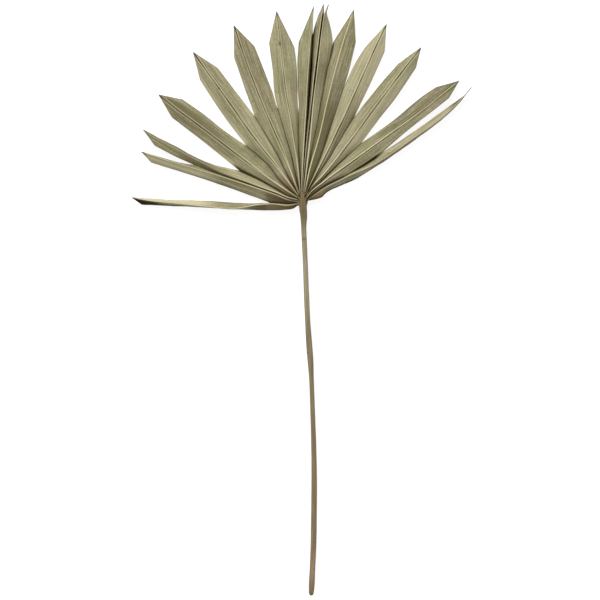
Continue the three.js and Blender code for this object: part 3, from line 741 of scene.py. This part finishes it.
def rib_root(index):
    """The root of one midrib: the points of its closed tube, and its rings' shares of the way.

    Its smooth path starts inside the midrib and then lies on the stalk's oval at its own angle.
    Its radius falls evenly, tapered over the first 15 and the last 20 hundredths of its length.
    """
    rows = np.array(STALK, float)[::-1]
    slant = math.radians(-ROOT_SLANT + 2 * ROOT_SLANT * index / (len(SEGMENTS) - 1))
    half = HALVES[index]["left"]
    inside = half.rib[ROOT_START]
    lift = rib_height(index, np.linalg.norm(inside, axis=1)) + ROOT_LIFT
    stops = [*np.column_stack([half.plan(inside), lift])]
    begin = stops[-1][1] - ROOT_ROOM
    for place, further in ROOT_STOPS:
        y = place - further * math.cos(slant)
        x, half_width, half_height, height = (np.interp(y, rows[:, 0], v) for v in rows[:, 1:].T)
        outward = 1.0 if y > ROOT_DIP else ROOT_SUNK
        across = outward * half_width * math.sin(slant)
        if y < begin:
            stops.append([x + across, y, height + outward * half_height * math.cos(slant)])
    path = smooth_path(stops, ROOT_PITCH)
    share = np.linspace(0, 1, len(path))[:, None]
    radius = (ROOT_RADIUS - ROOT_THINNING * share) * (0.15 + 0.85 * ease(share, 0, 0.15))
    radius = radius * (1 - 0.9 * ease(share, 0.8, 1))
    sideways, upward = across_path(path)
    turn = (FULL_TURN * np.arange(ROOT_SIDES)[None, :] / ROOT_SIDES)[..., None]
    ring = sideways * np.cos(turn) + upward * np.sin(turn)
    tube = path[:, None] + ring * radius[..., None]
    return np.concatenate([tube.reshape(-1, 3), path[:1], path[-1:]]), share


def rib_roots(material):
    """The roots of the midribs, which run on from them over the tongue and down the stalk.

    They are round cords side by side, at angles that step evenly over the stalk's top.
    """
    points, faces, gather = [], [], []
    total = 0
    for index in range(len(SEGMENTS)):
        tube, share = rib_root(index)
        points.append(tube)
        faces += [[k + total for k in face] for face in tube_faces(len(share), ROOT_SIDES)]
        gather.append(np.concatenate([np.repeat(1 - 0.25 * share, ROOT_SIDES), [1, 0.75]]))
        total += len(tube)
    points = np.concatenate(points)
    points[:, :2] += HUB
    marks = {"gather": np.concatenate(gather), "midrib": np.full(total, 0.08)}
    run = np.column_stack([points[:, 0] * 2, points[:, 1]])
    make_piece("rib_roots", points, faces, run, marks, material, "blade")


def stalk(material):
    """The stalk: an oval carried along its bent axis, ridged by fibres, closed at both ends.

    The radius at each angle is the oval's times 1 plus the cosines of STALK_RIDGES, less a
    shallow channel along the top, and swells a little along its length. The marks are eased steps
    and bell curves over the length from the top and over the height on the oval.
    """
    rows = np.array(STALK, float)
    path = smooth_path(rows[:, [1, 0, 2, 3, 4]], STALK_PITCH)
    centre = np.column_stack([path[:, :2] + HUB, path[:, 4]])
    sideways, upward = across_path(centre)
    turn = (FULL_TURN * np.arange(STALK_SIDES) / STALK_SIDES)[None, :]
    length = (rows[0, 0] - path[:, 1])[:, None]
    ridges = sum(
        high * np.cos(count * turn + length / wind) for high, count, wind in STALK_RIDGES
    )
    channel = CHANNEL * bell(turn - math.pi / 2, 0.35) * ease(length, 30, 80)
    swell = 1 + SWELL * waves(length / SWELL_PITCH, (0.4, 1.9, 4.4))
    radius = (1 + ridges - channel) * swell
    points = (
        centre[:, None]
        + sideways * (path[:, 2, None] * np.cos(turn) * radius)[..., None]
        + upward * (path[:, 3, None] * np.sin(turn) * radius)[..., None]
    )
    points[..., 2] = np.maximum(points[..., 2], STALK_FLOOR)
    points = np.concatenate([points.reshape(-1, 3), centre[:1], centre[-1:]])

    end = length[-1, 0]
    around = turn / FULL_TURN * FIBRES_ROUND
    run = np.stack([around + 0 * length, length + 0 * around], axis=-1).reshape(-1, 2)
    run = np.concatenate([run, [[0, 0], [0, end]]])
    along = np.concatenate([(length + 0 * turn).ravel(), [0, end]])
    height = np.concatenate([(np.sin(turn) + 0 * length).ravel(), [0, 0]])
    marks = {
        "root": 1 - ease(along, 12, 56),
        "pale": bell(along - 95, 45),
        "brown": ease(along, 150, 300),
        "warm": ease(along, 400, 450) * (1 - 0.7 * ease(along, 450, 468)),
        # Painted shade down the stalk's two sides, where its round faces turn away from above.
        "flank": bell(height, 0.5),
        "knot": bell(along - KNOT, 0.9) * ease(height, 0.1, 0.6),
        "cut": ease(along, end - 3.5, end - 1),
    }
    faces = tube_faces(len(path), STALK_SIDES)
    make_piece("stalk", points, faces, run, marks, material, "stem")


def tint(red, green, blue):
    """A colour as it looks on a screen, 0 to 255, turned into the linear light of shaders."""
    return (*[((c / 255 + 0.055) / 1.055) ** 2.4 for c in (red, green, blue)], 1.0)


class Nodes:
    """Short calls that add linked nodes to one shader tree."""

    def __init__(self, tree):
        self.tree = tree

    def add(self, kind, inputs=None, **settings):
        node = self.tree.nodes.new("ShaderNode" + kind)
        for key, value in settings.items():
            setattr(node, key, value)
        for key, value in (inputs or {}).items():
            if isinstance(value, bpy.types.NodeSocket):
                self.tree.links.new(value, node.inputs[key])
            else:
                node.inputs[key].default_value = value
        return node

    def math(self, operation, a, b):
        return self.add("Math", {0: a, 1: b}, operation=operation).outputs[0]

    def mix(self, share, a, b):
        return self.add("Mix", {0: share, 6: a, 7: b}, data_type="RGBA").outputs[2]

    def fade(self, value, low, high, start=0.0, end=1.0):
        inputs = {0: value, 1: low, 2: high, 3: start, 4: end}
        return self.add("MapRange", inputs, interpolation_type="SMOOTHSTEP").outputs[0]

    def mark(self, name):
        return self.add("Attribute", attribute_name=name).outputs["Fac"]

    def marked(self, name, most):
        """The share that a colour covers where a mark of the mesh is 1, fading out with it."""
        return self.math("MULTIPLY", self.mark(name), most)

    def layered(self, colour, layers):
        """A colour with others laid over it one by one, each as [share covered, screen colour]."""
        for share, shade in layers:
            colour = self.mix(share, colour, tint(*shade))
        return colour

    def placed(self, group, **inputs):
        """Outputs of a node group that is placed in this tree with its own inputs."""
        return self.add("Group", inputs, node_tree=group).outputs

    def noise(self, vector, scale, detail, roughness):
        inputs = {"Vector": vector, "Scale": scale, "Detail": detail, "Roughness": roughness}
        return self.add("TexNoise", inputs).outputs["Fac"]

    def stretch(self, vector, scale):
        return self.add("Mapping", {"Vector": vector, "Scale": scale}).outputs["Vector"]


def node_group(name, inputs, outputs):
    """An empty shader node group with named inputs {name: (socket type, value)} and outputs."""
    group = bpy.data.node_groups.new(name, "ShaderNodeTree")
    for key, (kind, value) in inputs.items():
        socket = group.interface.new_socket(key, in_out="INPUT", socket_type=kind)
        if value is not None:
            socket.default_value = value
    for key, kind in outputs.items():
        group.interface.new_socket(key, in_out="OUTPUT", socket_type=kind)
    entry = group.nodes.new("NodeGroupInput").outputs
    leave = group.nodes.new("NodeGroupOutput").inputs
    return group, Nodes(group), entry, leave


# The fibres: cells of noise to one step of the run, across it, along it and out of it.
FINE_FIBRES = (2.6, 0.035, 1)
COARSE_FIBRES = (0.62, 0.02, 1)


def fibre_group():
    """Lengthwise fibres: noise drawn out along the run, fine and coarse, as a tone and a height."""
    group, nodes, entry, leave = node_group(
        "lengthwise_fibres",
        {"Run": ("NodeSocketVector", None), "Fineness": ("NodeSocketFloat", 1.0)},
        {"Tone": "NodeSocketFloat", "Height": "NodeSocketFloat"},
    )
    scaled = nodes.add("VectorMath", {0: entry["Run"], 3: entry["Fineness"]}, operation="SCALE")
    run = scaled.outputs[0]
    fine = nodes.noise(nodes.stretch(run, FINE_FIBRES), 1.0, 3.0, 0.6)
    coarse = nodes.noise(nodes.stretch(run, COARSE_FIBRES), 1.0, 2.0, 0.5)
    both = nodes.math("ADD", nodes.math("MULTIPLY", fine, 0.5), nodes.math("MULTIPLY", coarse, 0.5))
    group.links.new(nodes.fade(both, 0.38, 0.62), leave["Tone"])
    group.links.new(fine, leave["Height"])
    return group


def patch_group():
    """Age patches: broad cloudy noise, and scattered specks where a finer noise peaks."""
    group, nodes, entry, leave = node_group(
        "age_patches",
        {"Place": ("NodeSocketVector", None), "Size": ("NodeSocketFloat", 20.0)},
        {"Cloud": "NodeSocketFloat", "Specks": "NodeSocketFloat"},
    )
    per_metre = nodes.math("DIVIDE", 1000.0, entry["Size"])
    cloud = nodes.noise(entry["Place"], per_metre, 3.0, 0.55)
    specks = nodes.noise(entry["Place"], nodes.math("MULTIPLY", per_metre, 14.0), 1.0, 0.4)
    group.links.new(nodes.fade(cloud, 0.32, 0.68), leave["Cloud"])
    group.links.new(nodes.fade(specks, 0.7, 0.8), leave["Specks"])
    return group


def new_material(name):
    """A material, short calls for its nodes and the inputs of its surface."""
    material = bpy.data.materials.new(name)
    material.use_nodes = True
    tree = material.node_tree
    return material, Nodes(tree), tree.nodes["Principled BSDF"].inputs


def finish_tissue(nodes, surface, colour, grain, roughness, bump):
    """Puts a colour on, roughened by the tone of the fibres and bumped by their height."""
    strength, distance = bump
    inputs = {"Height": grain["Height"], "Strength": strength, "Distance": distance}
    nodes.tree.links.new(colour, surface["Base Color"])
    nodes.tree.links.new(nodes.fade(grain["Tone"], 0.0, 1.0, *roughness), surface["Roughness"])
    nodes.tree.links.new(nodes.add("Bump", inputs).outputs["Normal"], surface["Normal"])


def leaf_material(fibres, patches):
    """Dry leaf tissue: khaki in clouds of four sizes, streaked lengthwise, then the marks.

    Each layer covers the ones before it by its share. Several marks are painted shade, and the
    midrib partly a painted highlight.
    """
    material, nodes, surface = new_material("dried_leaf")
    run = nodes.add("UVMap", uv_map="run").outputs["UV"]
    place = nodes.add("TexCoord").outputs["Object"]
    grain = nodes.placed(fibres, Run=run, Fineness=1.0)
    age, hue, moss, fleck = (nodes.placed(patches, Place=place, Size=s) for s in LEAF_PATCHES)
    tone, shade = nodes.mark("tone"), nodes.mark("shade")
    painted_deep_shade = nodes.math("MULTIPLY", nodes.math("POWER", shade, 2.0), 0.94)
    layers = [
        (age["Cloud"], (165, 164, 127)),  # grey-green
        (hue["Cloud"], (175, 165, 136)),  # tan
        (nodes.fade(moss["Cloud"], 0.55, 1.0, 0.0, 0.35), (126, 142, 92)),  # a trace of green
        (nodes.fade(fleck["Cloud"], 0.0, 1.0, 0.0, 0.32), (116, 109, 76)),  # small dull flecks
        (nodes.fade(grain["Tone"], 0.0, 1.0, 0.0, 0.76), (110, 102, 66)),  # fibres
        (nodes.fade(tone, 0.0, 1.0, 0.0, 0.75), (204, 196, 160)),  # pale halves, partly own colour and partly painted light
        (nodes.fade(tone, 0.0, -1.0, 0.0, 0.75), (94, 87, 56)),  # brown halves, partly own colour and partly painted shade
        # The gather is partly own colour and partly painted shade; the midrib's shadow line and the
        # fold are painted shade, the crease too but for a scar's own dark; the midrib is partly a
        # painted highlight and the rim partly painted shade.
        (nodes.marked("gather", 0.84), (94, 68, 34)),
        (nodes.marked("rib_shadow", 0.38), (84, 76, 44)),
        (nodes.marked("midrib", 0.92), (222, 212, 170)),
        (nodes.marked("crease", 0.95), (40, 32, 12)),
        (nodes.marked("fold", 0.98), (26, 19, 4)),
        (nodes.marked("rim", 0.42), (86, 79, 62)),
        (nodes.marked("tip", 0.8), (80, 77, 72)),
        (nodes.math("MULTIPLY", age["Specks"], 0.4), (84, 70, 42)),  # age specks
        (nodes.math("MULTIPLY", shade, 0.8), (82, 63, 26)),  # painted shade: brown at its border
        (painted_deep_shade, (24, 17, 7)),  # painted shade: near black in its middle
    ]
    colour = nodes.layered(tint(179, 172, 143), layers)
    finish_tissue(nodes, surface, colour, grain, roughness=(0.5, 0.7), bump=(0.35, 0.0002))
    surface["Specular IOR Level"].default_value = 0.12
    return material


def stalk_material(fibres, patches):
    """Woody stalk: olive below the hub, then straw and brown, with a scar and a raw cut."""
    material, nodes, surface = new_material("dried_stalk")
    run = nodes.add("UVMap", uv_map="run").outputs["UV"]
    place = nodes.add("TexCoord").outputs["Object"]
    grain = nodes.placed(fibres, Run=run, Fineness=1.3)
    age = nodes.placed(patches, Place=place, Size=STALK_PATCH)
    layers = [
        (age["Cloud"], (146, 138, 103)),  # olive
        (nodes.marked("pale", 0.75), (186, 177, 146)),
        (nodes.marked("brown", 0.6), (142, 118, 84)),
        (nodes.marked("warm", 0.55), (182, 150, 118)),
        (nodes.fade(grain["Tone"], 0.0, 1.0, 0.0, 0.7), (108, 90, 58)),  # fibres
        (nodes.marked("root", 0.74), (85, 72, 41)),
        (nodes.math("MULTIPLY", age["Specks"], 0.6), (88, 66, 40)),  # age specks
        # Painted shade down the stalk's sides.
        (nodes.marked("flank", 0.5), (84, 68, 44)),
        (nodes.marked("knot", 0.85), (78, 56, 42)),
        (nodes.marked("cut", 0.4), (112, 96, 72)),
    ]
    colour = nodes.layered(tint(152, 139, 105), layers)
    finish_tissue(nodes, surface, colour, grain, roughness=(0.42, 0.62), bump=(0.5, 0.0003))
    return material


# Studio, in metres: a pale floor, a broad key light from the upper left and soft light all round.
CAMERA_HEIGHT = 3.5
CAMERA_AIM = (-0.002, 0.0)
CAMERA_REACH = 20.0  # the camera sees as far as this
LENS = 177.0
SENSOR = 36.0
KEY_PLACE = (-0.7, 1.98, 1.95)
KEY_AIM = (0, 0.15, 0)
KEY_SIZE = 0.9
KEY_POWER = 66.0
SKY_STRENGTH = 0.45
WHITE = (1.0, 1.0, 1.0, 1.0)
FLOOR_HALF = 6.0
FLOOR_GRAY = 150
FLOOR_GLOW = 0.86


def floor():
    """The pale, matt floor, which glows a little."""
    mesh = bpy.data.meshes.new("floor")
    half = FLOOR_HALF
    corners = [(-half, -half, 0), (half, -half, 0), (half, half, 0), (-half, half, 0)]
    mesh.from_pydata(corners, [], [(0, 1, 2, 3)])
    thing = bpy.data.objects.new("floor", mesh)
    bpy.context.scene.collection.objects.link(thing)
    material, _, surface = new_material("pale_floor")
    surface["Base Color"].default_value = tint(FLOOR_GRAY, FLOOR_GRAY, FLOOR_GRAY)
    surface["Roughness"].default_value = 0.9
    surface["Specular IOR Level"].default_value = 0.1
    surface["Emission Color"].default_value = WHITE
    surface["Emission Strength"].default_value = FLOOR_GLOW
    mesh.materials.append(material)


def studio():
    """The key lamp, the soft light all round and the camera, which looks straight down."""
    scene = bpy.context.scene
    key = bpy.data.lights.new("key", "AREA")
    key.shape = "DISK"
    key.size = KEY_SIZE
    key.energy = KEY_POWER
    lamp = bpy.data.objects.new("key", key)
    lamp.location = KEY_PLACE
    away = Vector(KEY_PLACE) - Vector(KEY_AIM)
    lamp.rotation_euler = away.to_track_quat("Z", "Y").to_euler()
    scene.collection.objects.link(lamp)

    world = bpy.data.worlds.new("studio")
    world.use_nodes = True
    sky = world.node_tree.nodes["Background"].inputs
    sky["Color"].default_value = WHITE
    sky["Strength"].default_value = SKY_STRENGTH
    scene.world = world

    lens = bpy.data.cameras.new("camera")
    lens.lens = LENS
    lens.sensor_width = SENSOR
    lens.clip_end = CAMERA_REACH
    camera = bpy.data.objects.new("camera", lens)
    camera.location = (*CAMERA_AIM, CAMERA_HEIGHT)
    scene.collection.objects.link(camera)
    scene.camera = camera
    scene.view_settings.view_transform = "Standard"


studio()
floor()
fibres, patches = fibre_group(), patch_group()
leaf, wood = leaf_material(fibres, patches), stalk_material(fibres, patches)
for number in range(len(SEGMENTS)):
    segment(number, leaf)
gathered_base(leaf)
rib_roots(leaf)
stalk(wood)
